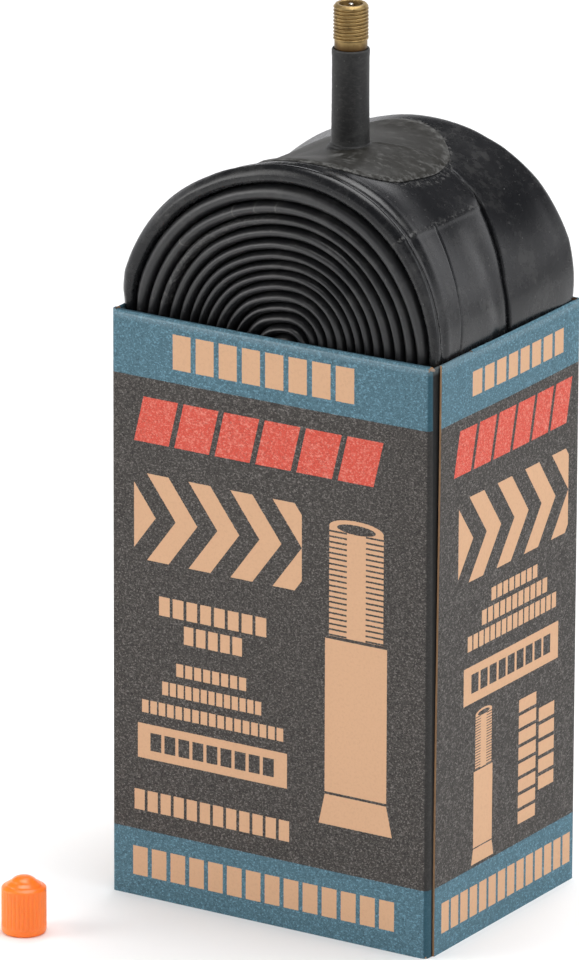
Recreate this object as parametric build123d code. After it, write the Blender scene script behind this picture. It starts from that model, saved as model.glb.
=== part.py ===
"""Rolled bicycle inner tube standing half out of its folded board carton.

Frame: millimetres, +Z up, origin at the centre of the carton's base.
The carton's wide front panel faces -Y, and its glued corner is at +X, -Y.
The tube is flattened, doubled on itself and rolled up about the Y direction,
with its valve standing straight up from the outermost layer.
"""
from build123d import *
from math import pi, sqrt
import os

# --- carton -------------------------------------------------------------
carton_width = 81.3        # outside, along X
carton_depth = 61.6        # outside, along Y
carton_height = 135.0      # floor to the top folds
board = 0.45               # board thickness
carton_corner_r = 0.9      # outside radius of the four upright bends
seam_corner_r = 1.2        # middle radius of the bend at the glued corner
seam_setback = 2.3         # front bend's width left bare by the side panel's edge
glue_flap_length = 13.0    # glued length behind the right panel
fold_gap = 0.02            # hairline between the separate folded flaps
front_fold_depth = 2.0     # top front fold, wall face to inner face
side_fold_gap = 0.05       # gap between a side wall and its folded dust flap
top_tuck_length = 72.0     # top lid and its tongue, hanging inside the front wall
dust_flap_length = 30.0    # all four dust flaps
dust_flap_inset = 2.3      # dust flap's side edges stay this far inside the panel's
bottom_tongue_height = 11.0
bottom_plate_inset = 0.35  # tuck flap's side edges inside the carton's outline
tongue_taper = 3.0         # tongue is narrower than the flap by this at each side
board_crease_r = 0.45      # inside radius of the bottom tongue's bend
bottom_tongue_room = 1.2   # depth kept free along the back wall for that tongue
bottom_tongue_lean = 0.25  # tongue's root stays this far short of its swing
front_fold_margin = 0.1    # front fold's ends stay this far inside the side walls
tongue_margin = 0.4        # top tongue is narrower than its fold by this at each side
glue_flap_margin = 0.5     # gap from the glue flap to the right dust flaps

# --- rolled tube --------------------------------------------------------
tube_wall = 1.2            # rubber thickness, two of them in each flattened layer
flat_width = 56.0          # flattened tube's width
layer_gap = 0.15           # air between neighbouring layers
layer_count = 15           # layers counted upwards from the roll's core
roll_to_flap = 0.30        # clearance from the roll to the folded side flaps
roll_centre_y = 0.45
roll_centre_z = 131.9

# --- valve --------------------------------------------------------------
valve_x = 0.4
patch_half_round = 20.5    # patch's half size across the roll's axis
patch_half_axial = 24.3    # patch's half size along the roll's axis
patch_thickness = 0.6
sleeve_r = 4.05
sleeve_height = 20.6       # above the patch
sleeve_foot_r = 5.0
sleeve_foot_height = 1.2
sleeve_rim_r = 0.35        # rounding of the sleeve's top edge
brass_height = 10.6        # brass showing above the sleeve
thread_crest_r = 3.85      # 8V1 valve thread
thread_root_r = 3.40
thread_pitch = 0.79375     # 32 threads per inch
thread_turns = 9
stem_neck_r = 3.60
stem_shank_r = 2.95        # brass inside the rubber sleeve
stem_chamfer = 0.75
stem_bore_chamfer = 0.40
stem_lip = 0.15            # flat ring at the very top
thread_run_out = 0.3
thread_flank = 0.42        # share of the pitch that each flank takes
stem_shank_inset = 1.0     # the brass stops this far above the tube's surface

# --- valve core, placed down from the stem's top ------------------------
core_thread_r = 2.55       # 5V1 core thread
plug_drop = 1.6
plug_length = 4.0
plug_slot_width = 2.2
plug_slot_depth = 1.3
plug_recess_r = 1.75
plug_recess_depth = 1.2
plug_bore_r = 0.93
plug_driver_r = 1.48       # the slot stops at this radius
pin_r = 0.50
pin_hole_r = 0.58
pin_drop = 0.35
pin_chamfer = 0.12
barrel_neck_r = 1.70
barrel_shoulder_r = 2.05
barrel_tube_r = 1.50
barrel_bore_r = 1.08
barrel_shoulder_length = 1.0
gasket_length = 2.2
gasket_top_r = 2.35
gasket_end_r = 1.95
barrel_length = 9.2
barrel_web = 0.8           # closed end that the spring stands on
running_gap = 0.05
seat_bore_r = 1.95         # stem's bore below the tapered seat
seat_lead_in = 0.3         # short cone above and below the tapered seat
pin_collar_r = 0.92
pin_collar_length = 0.4
collar_drop = 0.2          # collar's top below the plug's
spring_wire_r = 0.11
spring_coils = 8
spring_play = 0.01
washer_r = 1.30
washer_thickness = 0.55
cup_wall = 0.20
cup_depth = 1.0

# --- dust cap, standing on its mouth on the floor -----------------------
cap_x = -43.1
cap_y = -63.5
cap_r = 4.90
cap_rib_depth = 0.16
cap_rib_count = 32
cap_rib_start = 1.05       # floor to the ribs' lower ends
cap_side_height = 10.1     # floor to the shoulder
cap_dome_r = 2.45          # radius where the cone meets the dome
cap_cone_height = 12.2     # floor to the dome's edge
cap_height = 12.85
cap_mouth_rounding = 0.7
cap_bore_clearance = 0.10
cap_bore_depth = 9.5

# --- sizes worked out from the above ------------------------------------
half_width = carton_width / 2
half_depth = carton_depth / 2
wall_mid_x = half_width - board / 2
wall_mid_y = half_depth - board / 2
side_fold_depth = 2 * board + side_fold_gap
side_flap_inner_x = half_width - side_fold_depth
front_flap_inner_y = -half_depth + front_fold_depth
wall_cut = 3 * board       # depth of a cut that takes away one wall only
tuck_half_width = half_width - 2 * board - front_fold_margin
right_dust_front_y = -half_depth + seam_setback + glue_flap_length + glue_flap_margin
tuck_plate_top = board
side_floor_z = tuck_plate_top + fold_gap
dust_plate_top = side_floor_z + board
layer_thickness = 2 * tube_wall
layer_pitch = layer_thickness + layer_gap
roll_r = side_flap_inner_x - roll_to_flap
outer_layer_r = roll_r - tube_wall
core_layer_r = outer_layer_r - (layer_count - 1) * layer_pitch
roll_top_z = roll_centre_z + roll_r
patch_top_z = roll_top_z + patch_thickness
sleeve_top_z = patch_top_z + sleeve_height
stem_top_z = sleeve_top_z + brass_height
valve_y = roll_centre_y


def box_between(low, high):
    """Box from its lowest to its highest corner."""
    size = [high[i] - low[i] for i in range(3)]
    middle = [(high[i] + low[i]) / 2 for i in range(3)]
    return Pos(*middle) * Box(*size)


def turned(points, x=0.0, y=0.0, z=0.0):
    """Solid of revolution about a vertical axis, from (radius, height) points."""
    outline = make_face(Plane.XZ * Polyline(*points, close=True))
    return Pos(x, y, z) * revolve(outline, Axis.Z)


def rounded_bend(middle_r, length, start_angle, angle):
    """Bent strip of board about the X axis, as long as length."""
    strip = Plane.XY * Pos(0, middle_r) * Rectangle(length, board)
    strip = strip.rotate(Axis.X, start_angle)
    return revolve(strip, Axis.X, angle)


def save(shape, name):
    """Write one sub-part's solids to its own STEP file."""
    shape.label = name
    export_step(shape, f"parts/{name}.step")


# --- carton -------------------------------------------------------------
def carton_sleeve():
    """Four walls and the glue flap: one strip of board, glued at one corner."""
    outer = RectangleRounded(carton_width, carton_depth, carton_corner_r)
    inner = RectangleRounded(carton_width - 2 * board, carton_depth - 2 * board,
                             carton_corner_r - board)
    corner = Pos(half_width, -half_depth) * Rectangle(2 * wall_cut, 2 * seam_setback)
    flap_x = wall_mid_x - board
    seam = FilletPolyline(
        (half_width - 2 * seam_setback, -wall_mid_y),
        (flap_x, -wall_mid_y),
        (flap_x, -half_depth + seam_setback + glue_flap_length),
        radius=seam_corner_r)
    outline = outer - inner - corner + trace(seam, line_width=board)
    walls = extrude(outline, carton_height - fold_gap)

    big = carton_width
    front_top = carton_height - front_fold_depth / 2 - fold_gap
    side_top = carton_height - side_fold_depth / 2 - fold_gap
    flap_half = half_depth - dust_flap_inset + fold_gap
    walls -= box_between((-tuck_half_width - fold_gap, -big, front_top),
                         (tuck_half_width + fold_gap, -half_depth + wall_cut, big * 2))
    for side, front_y in ((-1, -flap_half), (1, right_dust_front_y - fold_gap)):
        x_pair = sorted((side * (side_flap_inner_x - board), side * big))
        walls -= box_between((x_pair[0], front_y, side_top),
                             (x_pair[1], flap_half, big * 2))
    # the bottom flaps' folds: front first, then both sides above the tuck plate
    walls -= box_between((-big, -big, -board), (big, -half_depth + wall_cut, side_floor_z))
    for side in (-1, 1):
        x_pair = sorted((side * (half_width - wall_cut), side * big))
        walls -= box_between((x_pair[0], -big, -board),
                             (x_pair[1], half_depth - carton_corner_r, side_floor_z))
        walls -= box_between((x_pair[0], -flap_half, -board),
                             (x_pair[1], flap_half, dust_plate_top + fold_gap))
    return walls


def top_tuck_flap():
    """Lid and its tongue, folded over the front edge and down inside the wall."""
    middle_r = (front_fold_depth - board) / 2
    fold = rounded_bend(middle_r, 2 * tuck_half_width, 0, 180)
    fold_z = carton_height - front_fold_depth / 2
    fold = Pos(0, -half_depth + front_fold_depth / 2, fold_z) * fold
    plate_half = tuck_half_width - tongue_margin
    plate = box_between((-plate_half, front_flap_inner_y - board, fold_z - top_tuck_length),
                        (plate_half, front_flap_inner_y, fold_z))
    return fold + plate


def top_dust_flap(side):
    """Side dust flap folded flat inside its wall; side is -1 left, +1 right."""
    front_y = right_dust_front_y if side > 0 else -half_depth + dust_flap_inset
    back_y = half_depth - dust_flap_inset
    middle_r = (side_fold_depth - board) / 2
    fold_z = carton_height - side_fold_depth / 2
    fold = rounded_bend(middle_r, back_y - front_y, 0, 180).rotate(Axis.Z, 90)
    middle_x = side * (half_width - side_fold_depth / 2)
    fold = Pos(middle_x, (front_y + back_y) / 2, fold_z) * fold
    x_pair = sorted((side * side_flap_inner_x, side * (side_flap_inner_x + board)))
    plate = box_between((x_pair[0], front_y, fold_z - dust_flap_length),
                        (x_pair[1], back_y, fold_z))
    return fold + plate


def bottom_dust_flap(side):
    """Side dust flap folded under its wall, lying on the tuck flap."""
    front_y = -half_depth + dust_flap_inset
    back_y = front_y + 2 * half_depth - 2 * dust_flap_inset - bottom_tongue_room
    x_pair = sorted((side * (half_width - dust_flap_length), side * (half_width - board)))
    plate = box_between((x_pair[0], front_y, side_floor_z),
                        (x_pair[1], back_y, dust_plate_top))
    corner = rounded_bend(board / 2, back_y - front_y, 180, 90).rotate(Axis.Z, 90 * side)
    edge_x = side * (half_width - board)
    corner = Pos(edge_x, (front_y + back_y) / 2, dust_plate_top) * corner
    return plate + corner


def bottom_tuck_flap():
    """Bottom lid hinged at the front edge, its tongue tucked inside the back wall.

    The tongue leans in so that its tip swings past the back wall's inner face.
    """
    hinge_y = -half_depth + board / 2
    hinge_z = board / 2
    reach = half_depth - board - fold_gap * 3 - hinge_y
    tip_out = sqrt(reach ** 2 - (bottom_tongue_height - hinge_z) ** 2)
    plate_half = half_width - bottom_plate_inset
    tongue_half = plate_half - tongue_taper
    root_y = hinge_y + reach - bottom_tongue_lean
    tip_y = hinge_y + tip_out
    bend = board_crease_r + board / 2
    side_path = FilletPolyline(
        (hinge_y, hinge_z),
        (root_y - board / 2, hinge_z),
        (tip_y - board / 2, bottom_tongue_height),
        radius=bend)
    outline = trace(side_path, line_width=board)
    outline += Pos(hinge_y, hinge_z) * Circle(board / 2)
    flap = extrude(Plane.YZ * outline, plate_half, both=True)
    for side in (-1, 1):
        x_pair = sorted((side * tongue_half, side * carton_width))
        flap -= box_between((x_pair[0], root_y - 2 * bend, board + fold_gap),
                            (x_pair[1], carton_depth, carton_height))
    return flap


# --- rolled tube --------------------------------------------------------
def layer_arc(centre_x, middle_r, start_angle, angle):
    """Part turn of the flattened tube: a flat oval section swept about Y."""
    axis = Axis((centre_x, 0, roll_centre_z), (0, 1, 0))
    section = SlotOverall(flat_width, layer_thickness, rotation=90)
    section = Pos(centre_x + middle_r, roll_centre_y, roll_centre_z) * section
    return revolve(section.rotate(axis, start_angle), axis, angle)


def tube_coil():
    """Closed loop of flattened tube, doubled and rolled as a two-centre spiral.

    Upper half turns share one centre and lower half turns share another, one
    layer pitch further right, so each half turn runs on into the next one and
    two strands wind out side by side. A tight fold joins the strands at the
    core, and another joins them at the outer end on the left.
    """
    radii = [core_layer_r + i * layer_pitch for i in range(layer_count)]
    arcs = [layer_arc(0, r, 0, -180) for r in radii]
    arcs += [layer_arc(layer_pitch, r, 0, 180) for r in radii[1:-1]]
    fold_r = layer_pitch / 2
    arcs += [layer_arc(radii[0] + fold_r, fold_r, 0, 180)]
    arcs += [layer_arc(-radii[-1] + fold_r, fold_r, 0, 180)]
    return arcs[0].fuse(*arcs[1:])


def roll_cylinder(radius):
    """Solid cylinder on the outer layer's axis."""
    rod = Cylinder(radius, 2 * flat_width, rotation=(90, 0, 0))
    return Pos(0, roll_centre_y, roll_centre_z) * rod


def above_roll(radius, height):
    """Vertical rod on the valve's axis, cut to stand on the roll's surface."""
    top = roll_top_z + height
    rod = Pos(valve_x, valve_y, (top + roll_centre_z) / 2)
    rod *= Cylinder(radius, top - roll_centre_z)
    return rod - roll_cylinder(roll_r)


# --- valve --------------------------------------------------------------
def valve_patch():
    """Oval reinforcing patch bonded round the stem, following the roll."""
    oval = Pos(valve_x, valve_y, roll_centre_z)
    oval *= extrude(Ellipse(patch_half_round, patch_half_axial), 2 * roll_r)
    patch = oval & (roll_cylinder(roll_r + patch_thickness) - roll_cylinder(roll_r))
    return patch - above_roll(sleeve_r, 2 * patch_thickness + 1)


def stem_rubber():
    """Rubber sleeve moulded on the brass stem, with a small foot on the patch."""
    height = patch_top_z - roll_top_z + sleeve_height
    sleeve = above_roll(sleeve_r, height)
    rim = sleeve.edges().filter_by(GeomType.CIRCLE).sort_by(Axis.Z)[-1]
    sleeve = fillet(rim, sleeve_rim_r)
    foot_top = sleeve_foot_height
    foot = turned([(0, -foot_top), (sleeve_foot_r, -foot_top), (sleeve_foot_r, 0),
                   (sleeve_r, foot_top), (0, foot_top)], valve_x, valve_y, patch_top_z)
    sleeve += foot - roll_cylinder(roll_r + patch_thickness)
    shank = Pos(valve_x, valve_y, roll_top_z + stem_shank_inset)
    shank *= Cylinder(stem_shank_r, 2 * sleeve_height, align=(Align.CENTER, Align.CENTER, Align.MIN))
    air_way = Pos(valve_x, valve_y, roll_top_z) * Cylinder(seat_bore_r, 4 * stem_shank_inset)
    return sleeve - shank - air_way


def stem_brass():
    """Turned brass stem: outer valve thread, neck, shank and the core's bore."""
    top = brass_height
    first_crest = top - stem_chamfer
    outline = [(stem_shank_r, roll_top_z + stem_shank_inset - sleeve_top_z),
               (stem_shank_r, 0), (stem_neck_r, 0)]
    thread_end = first_crest - thread_turns * thread_pitch
    outline += [(stem_neck_r, thread_end - thread_run_out)]
    for i in range(thread_turns):
        low = thread_end + i * thread_pitch
        outline += [(thread_root_r, low),
                    (thread_crest_r, low + thread_flank * thread_pitch),
                    (thread_crest_r, low + (1 - thread_flank) * thread_pitch)]
    bore_r = core_thread_r + running_gap
    mouth_r = bore_r + stem_bore_chamfer
    outline += [(thread_crest_r - thread_run_out, first_crest),
                (mouth_r + stem_lip, top), (mouth_r, top)]
    seat_top = top - plug_drop - plug_length - barrel_shoulder_length
    outline += [(bore_r, top - stem_bore_chamfer), (bore_r, seat_top + seat_lead_in),
                (gasket_top_r + running_gap, seat_top),
                (gasket_end_r + running_gap, seat_top - gasket_length),
                (seat_bore_r, seat_top - gasket_length - seat_lead_in),
                (seat_bore_r, roll_top_z + stem_shank_inset - sleeve_top_z)]
    return turned(outline, valve_x, valve_y, sleeve_top_z)


def core_part(points):
    """Turned core piece, its heights measured down from the stem's top."""
    return turned([(r, -drop) for r, drop in points], valve_x, valve_y, stem_top_z)


plug_bottom = plug_drop + plug_length
shoulder_bottom = plug_bottom + running_gap + barrel_shoulder_length
barrel_bottom = plug_bottom + barrel_length
web_top = barrel_bottom - barrel_web
collar_top = plug_bottom + collar_drop
collar_bottom = collar_top + pin_collar_length
washer_top = barrel_bottom
washer_bottom = washer_top + washer_thickness
cup_bottom = washer_top + cup_depth


def core_plug():
    """Threaded brass collar with two driving shoulders, free on the barrel."""
    plug = core_part([(plug_bore_r, plug_drop), (core_thread_r, plug_drop),
                      (core_thread_r, plug_bottom), (plug_recess_r, plug_bottom),
                      (plug_recess_r, plug_bottom - plug_recess_depth),
                      (plug_bore_r, plug_bottom - plug_recess_depth)])
    slot_top = stem_top_z - plug_drop
    slot = box_between((valve_x - plug_slot_width / 2, valve_y - carton_depth,
                        slot_top - plug_slot_depth),
                       (valve_x + plug_slot_width / 2, valve_y + carton_depth, slot_top + 1))
    neck = core_part([(0, pin_drop), (plug_driver_r, pin_drop),
                      (plug_driver_r, plug_bottom), (0, plug_bottom)])
    return plug - (slot - neck)


def core_barrel():
    """Brass barrel: neck in the plug, shoulder, taper and the closed end."""
    neck_top = plug_bottom - plug_recess_depth + running_gap
    return core_part([
        (pin_hole_r, neck_top), (barrel_neck_r, neck_top),
        (barrel_neck_r, plug_bottom + running_gap),
        (barrel_shoulder_r, plug_bottom + running_gap),
        (barrel_shoulder_r, shoulder_bottom),
        (barrel_neck_r, shoulder_bottom),
        (barrel_tube_r, shoulder_bottom + gasket_length),
        (barrel_tube_r, barrel_bottom), (pin_hole_r, barrel_bottom),
        (pin_hole_r, web_top), (barrel_bore_r, web_top),
        (barrel_bore_r, collar_top - running_gap), (pin_hole_r, collar_top - running_gap)])


def core_gasket():
    """Tapered sealing ring on the barrel."""
    return core_part([
        (barrel_neck_r, shoulder_bottom), (gasket_top_r - running_gap, shoulder_bottom),
        (gasket_end_r - running_gap, shoulder_bottom + gasket_length),
        (barrel_tube_r, shoulder_bottom + gasket_length)])


def core_pin():
    """Steel pin with the collar that the spring pushes up."""
    return core_part([
        (0, pin_drop), (pin_r - pin_chamfer, pin_drop), (pin_r, pin_drop + pin_chamfer),
        (pin_r, collar_top), (pin_collar_r, collar_top),
        (pin_collar_r, collar_bottom), (pin_r, collar_bottom),
        (pin_r, cup_bottom - cup_wall), (0, cup_bottom - cup_wall)])


def core_pin_cup():
    """Pressed cup at the pin's foot, holding the seat washer."""
    outer = washer_r + cup_wall
    return core_part([
        (0, cup_bottom - cup_wall), (pin_r, cup_bottom - cup_wall), (pin_r, washer_bottom),
        (washer_r, washer_bottom), (washer_r, washer_top + cup_wall),
        (outer, washer_top + cup_wall), (outer, cup_bottom), (0, cup_bottom)])


def core_seat_washer():
    """Rubber washer that closes the barrel's end."""
    return core_part([(pin_r, washer_top), (washer_r, washer_top),
                      (washer_r, washer_bottom), (pin_r, washer_bottom)])


def core_spring():
    """Round-wire spring round the pin, from the barrel's closed end to the collar."""
    coil_r = (barrel_bore_r + pin_r) / 2
    end_gap = spring_wire_r + spring_play
    height = web_top - collar_bottom - 2 * end_gap
    helix = Helix(height / spring_coils, height, coil_r)
    wire = sweep(Plane(origin=helix @ 0, z_dir=helix % 0) * Circle(spring_wire_r), path=helix)
    return Pos(valve_x, valve_y, stem_top_z - web_top + end_gap) * wire


# --- dust cap -----------------------------------------------------------
def dust_cap():
    """Ribbed plastic cap with a conical shoulder and a low dome."""
    bore_r = thread_crest_r + cap_bore_clearance
    step = cap_mouth_rounding
    dome_rise = cap_height - cap_cone_height
    dome_curve = (cap_dome_r ** 2 + dome_rise ** 2) / (2 * dome_rise)
    outline = Polyline((0, cap_bore_depth), (bore_r, cap_bore_depth), (bore_r, 0),
                       (cap_r - step, 0))
    outline += RadiusArc((cap_r - step, 0), (cap_r, step), -step)
    outline += Polyline((cap_r, step), (cap_r, cap_side_height),
                        (cap_dome_r, cap_cone_height))
    outline += RadiusArc((cap_dome_r, cap_cone_height), (0, cap_height), -dome_curve)
    outline += Line((0, cap_height), (0, cap_bore_depth))
    body = revolve(make_face(Plane.XZ * outline), Axis.Z)
    groove_r = pi * cap_r / (2 * cap_rib_count)
    groove = Pos(cap_r + groove_r - cap_rib_depth, 0, cap_rib_start)
    groove *= Cylinder(groove_r, cap_side_height - cap_rib_start - cap_rib_depth,
                       align=(Align.CENTER, Align.CENTER, Align.MIN))
    grooves = [groove.rotate(Axis.Z, i * 360 / cap_rib_count) for i in range(cap_rib_count)]
    return Pos(cap_x, cap_y, 0) * body.cut(*grooves)


os.makedirs("parts", exist_ok=True)
save(carton_sleeve(), "carton_sleeve")
save(top_tuck_flap(), "top_tuck_flap")
save(top_dust_flap(-1), "top_dust_flap_left")
save(top_dust_flap(1), "top_dust_flap_right")
save(bottom_tuck_flap(), "bottom_tuck_flap")
save(bottom_dust_flap(-1), "bottom_dust_flap_left")
save(bottom_dust_flap(1), "bottom_dust_flap_right")
save(tube_coil(), "tube_coil")
save(valve_patch(), "valve_patch")
save(stem_rubber(), "stem_rubber")
save(stem_brass(), "stem_brass")
save(core_plug(), "core_plug")
save(core_barrel(), "core_barrel")
save(core_gasket(), "core_gasket")
save(core_pin(), "core_pin")
save(core_pin_cup(), "core_pin_cup")
save(core_seat_washer(), "core_seat_washer")
save(core_spring(), "core_spring")
save(dust_cap(), "dust_cap")
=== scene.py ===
"""A rolled bicycle inner tube that stands half out of its board carton."""
from math import cos, pi, radians, sin, tau

import bpy
import numpy as np
from bpy.props import FloatProperty, FloatVectorProperty, PointerProperty
from mathutils import Matrix, Vector


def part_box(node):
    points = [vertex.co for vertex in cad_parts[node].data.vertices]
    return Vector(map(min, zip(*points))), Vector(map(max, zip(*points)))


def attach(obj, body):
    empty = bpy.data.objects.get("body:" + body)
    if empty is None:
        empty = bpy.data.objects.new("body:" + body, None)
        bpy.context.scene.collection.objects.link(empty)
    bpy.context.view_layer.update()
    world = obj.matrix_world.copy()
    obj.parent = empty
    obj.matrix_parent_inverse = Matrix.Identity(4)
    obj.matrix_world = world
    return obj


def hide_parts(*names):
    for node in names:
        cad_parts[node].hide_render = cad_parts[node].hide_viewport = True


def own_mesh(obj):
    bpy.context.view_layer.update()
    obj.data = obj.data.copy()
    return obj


bl_info = {
    "name": "Boxed Inner Tube",
    "version": (1, 0, 0),
    "blender": (4, 5, 0),
    "location": "3D View > Sidebar > Inner Tube",
    "description": "Rolled bicycle inner tube, its valve, dust cap and carton",
    "category": "Add Mesh",
}

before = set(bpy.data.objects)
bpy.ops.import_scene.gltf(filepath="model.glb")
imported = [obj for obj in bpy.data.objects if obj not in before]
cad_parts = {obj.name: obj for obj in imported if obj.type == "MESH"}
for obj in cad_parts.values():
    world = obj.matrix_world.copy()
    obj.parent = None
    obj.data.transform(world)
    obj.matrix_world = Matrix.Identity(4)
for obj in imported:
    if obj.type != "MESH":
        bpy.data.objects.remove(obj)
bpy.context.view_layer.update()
MM = 0.001


def node_box(node):
    """Lowest and highest corner of a CAD node, in millimetres."""
    low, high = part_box(node)
    return np.array(low) / MM, np.array(high) / MM


# Sizes below are in millimetres.
WALL_HIGH = node_box("carton_sleeve")[1]
ROLL_LOW, ROLL_HIGH = node_box("tube_coil")
SLEEVE_LOW, SLEEVE_HIGH = node_box("stem_rubber")
BRASS_LOW, BRASS_HIGH = node_box("stem_brass")
CAP_LOW, CAP_HIGH = node_box("dust_cap")

HALF_WIDTH = WALL_HIGH[0]
HALF_DEPTH = WALL_HIGH[1]
BOARD = 0.45
CARTON_TOP = node_box("top_tuck_flap")[1][2]
CORNER_R = 0.9
SEAM_R = 1.425
SEAM_SETBACK = 2.3
GLUE_END = 15.5
PLAN_SCALE = 1.010         # the creased walls stand this much wider
SEAM_X = (HALF_WIDTH - BOARD - SEAM_R) * PLAN_SCALE
RAW_FACES = (1, 2, 3, 5)   # a board sheet's back and all edges but its top

LAYERS = 15
FOLD_DEPTH = 2.5           # how far a layer's rounded front edge reaches back
REAR_DEPTH = 1.9           # the same at its rear edge
FOLD_STEPS = 19
STRAND_STEPS = 45          # points along half a turn of one layer
ROLL_X, ROLL_Z = 1.0, 130.9
VALVE_X = (SLEEVE_LOW[0] + SLEEVE_HIGH[0]) / 2
VALVE_Y = (SLEEVE_LOW[1] + SLEEVE_HIGH[1]) / 2
SLEEVE_FOOT = 169.6
SLEEVE_TOP = SLEEVE_HIGH[2] + 0.35
BRASS_TOP = BRASS_HIGH[2] - 0.25
THREAD_PITCH = 0.79375     # 32 threads to the inch
LAYER_FILL = 0.92          # a layer's share of the room between its grooves
OUTER_FILL = 0.985         # the same for the outermost layer
OUTER_STEPS = 330          # rings along the outermost layer
SPRUNG_X, SPRUNG_Y = 0.35, 0.5     # how far the right wall's edge stands out
BAND_HIGH, BAND_LOW = 120.7, 15.7  # where the two printed bands end
LEFT_LIGHT = (-0.85, -0.75, 0.6)   # lights and their aim, in metres
RIGHT_LIGHT = (1.5, 0.0, 0.7)
TOP_LIGHT = (0.1, 0.3, 1.9)
LIGHT_AIM = (0, 0, 0.1)
SKIN_R = 41.0              # mean radius that arcs on the roll are worked from
PATCH_R = 41.5
CAMERA_PLACE = (1.119153, -1.803330, 0.783749)     # metres
# Blue darkened as painted shade, inside the folded flaps and on the walls' top
# edge
SHADE_BLUE = (0.004, 0.030, 0.048, 1)


# --- shader maths -------------------------------------------------------
def maths(operation, swapped=False):
    """Method that adds one Math node on a Wire and what it is given."""
    def method(first, *second):
        values = (*second, first) if swapped else (first, *second)
        return first.finish.node("ShaderNodeMath", {"operation": operation},
                                 dict(enumerate(values)))
    return method


class Wire:
    """A value in a material: arithmetic on it adds Math nodes."""

    def __init__(self, finish, socket):
        self.finish = finish
        self.socket = socket

    __add__ = __radd__ = maths("ADD")
    __sub__ = maths("SUBTRACT")
    __rsub__ = maths("SUBTRACT", swapped=True)
    __mul__ = __rmul__ = maths("MULTIPLY")
    __truediv__ = maths("DIVIDE")
    __mod__ = maths("FLOORED_MODULO")
    __pow__ = maths("POWER")
    __lt__ = maths("LESS_THAN")
    __gt__ = maths("GREATER_THAN")
    __abs__ = maths("ABSOLUTE")

    def held(self):
        """The value kept between 0 and 1."""
        return self.finish.node("ShaderNodeMath",
                                {"operation": "ADD", "use_clamp": True},
                                {0: self, 1: 0.0})


class Finish:
    """The nodes of a material, or of the world, while they are being made."""

    def __init__(self, name, kind="materials"):
        self.owner = getattr(bpy.data, kind).new(name)
        self.owner.use_nodes = True
        self.tree = self.owner.node_tree
        self.tree.nodes.clear()
        self.place = self.node("ShaderNodeTexCoord", output="Object")

    def node(self, kind, settings=None, inputs=None, output=0):
        """Add one node: its settings, then its sockets' values or links."""
        made = self.tree.nodes.new(kind)
        for key, value in (settings or {}).items():
            if key == "stops":
                for stop, (place, colour) in zip(made.color_ramp.elements,
                                                 value):
                    stop.position = place
                    stop.color = colour
            else:
                setattr(made, key, value)
        for key, value in (inputs or {}).items():
            if isinstance(value, Wire):
                self.tree.links.new(value.socket, made.inputs[key])
            else:
                made.inputs[key].default_value = value
        return Wire(self, made.outputs[output]) if made.outputs else None

    def mix(self, factor, first, second):
        """Colour between first and second."""
        return self.node("ShaderNodeMix", {"data_type": "RGBA"},
                         {0: factor, 6: first, 7: second}, output=2)

    def noise(self, size, detail, rough, stretch=None):
        """Cloudy noise from 0 to 1, its features about size millimetres."""
        vector = self.place
        if stretch:
            vector = self.node("ShaderNodeMapping", {},
                               {"Vector": vector, "Scale": stretch})
        return self.node("ShaderNodeTexNoise", {},
                         {"Vector": vector, "Scale": 1 / (size * MM),
                          "Detail": detail, "Roughness": rough})

    def band(self, value, low, high):
        """0 at low, 1 at high and a smooth change between."""
        return self.node("ShaderNodeMapRange",
                         {"interpolation_type": "SMOOTHSTEP"},
                         {"Value": value, "From Min": low, "From Max": high},
                         output="Result")

    def axes(self, names="XYZ"):
        """The named Object coordinates in millimetres."""
        return [self.node("ShaderNodeSeparateXYZ", {}, {0: self.place}, name)
                * (1 / MM) for name in names]

    def bump(self, height, depth, strength):
        """Normal for a height of 0 to 1 that stands depth millimetres."""
        return self.node("ShaderNodeBump", {},
                         {"Strength": strength, "Distance": depth * MM,
                          "Height": height}, output="Normal")

    def surface(self, **sockets):
        """Close the material with a Principled surface."""
        names = {key.replace("_", " "): value
                 for key, value in sockets.items()}
        shader = self.node("ShaderNodeBsdfPrincipled", {}, names)
        self.node("ShaderNodeOutputMaterial", {}, {"Surface": shader})
        return self.owner


def tint(colour, factor, extra=0.0):
    """A colour times one factor or three, plus extra, kept opaque."""
    made = np.minimum(1, np.multiply(colour[:3], factor) + extra)
    return (*made.tolist(), 1)


# --- mesh building ------------------------------------------------------
def grid_quads(rows, columns, wrap_columns=False):
    """Quads joining each grid point to its right and lower neighbours."""
    across = columns if wrap_columns else columns - 1
    i, j = np.meshgrid(np.arange(rows - 1), np.arange(across), indexing="ij")
    here = i * columns + j
    right = i * columns + (j + 1) % columns
    return np.stack([here, right, right + columns, here + columns],
                    axis=-1).reshape(-1, 4)


def ring_shell(rings):
    """Closed shell: rings of points joined in turn, each end shut by a fan
    of triangles to the middle of its ring."""
    rows, columns, _ = rings.shape
    ends = np.stack([rings[0].mean(0), rings[-1].mean(0)])
    points = np.vstack([rings.reshape(-1, 3), ends])
    j = np.arange(columns)
    following = (j + 1) % columns
    first, last = rows * columns, rows * columns + 1
    base = (rows - 1) * columns
    start = np.stack([np.full(columns, first), following, j], axis=-1)
    finish = np.stack([np.full(columns, last), base + j, base + following],
                      axis=-1)
    return points, [grid_quads(rows, columns, True), start, finish]


def sheet_shell(face, back):
    """Closed shell from two matching grids: a face, a back, and the edges
    along the first row, last column, last row and first column."""
    rows, columns, _ = face.shape
    count = rows * columns
    points = np.vstack([face.reshape(-1, 3), back.reshape(-1, 3)])
    index = np.arange(count).reshape(rows, columns)
    quads = grid_quads(rows, columns)
    groups = [quads, quads[:, ::-1] + count]
    for rim in (index[0], index[:, -1], index[-1, ::-1], index[::-1, 0]):
        here, turn = rim[:-1], rim[1:]
        groups.append(np.stack([turn, here, here + count, turn + count],
                               axis=-1))
    return points, groups


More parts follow.
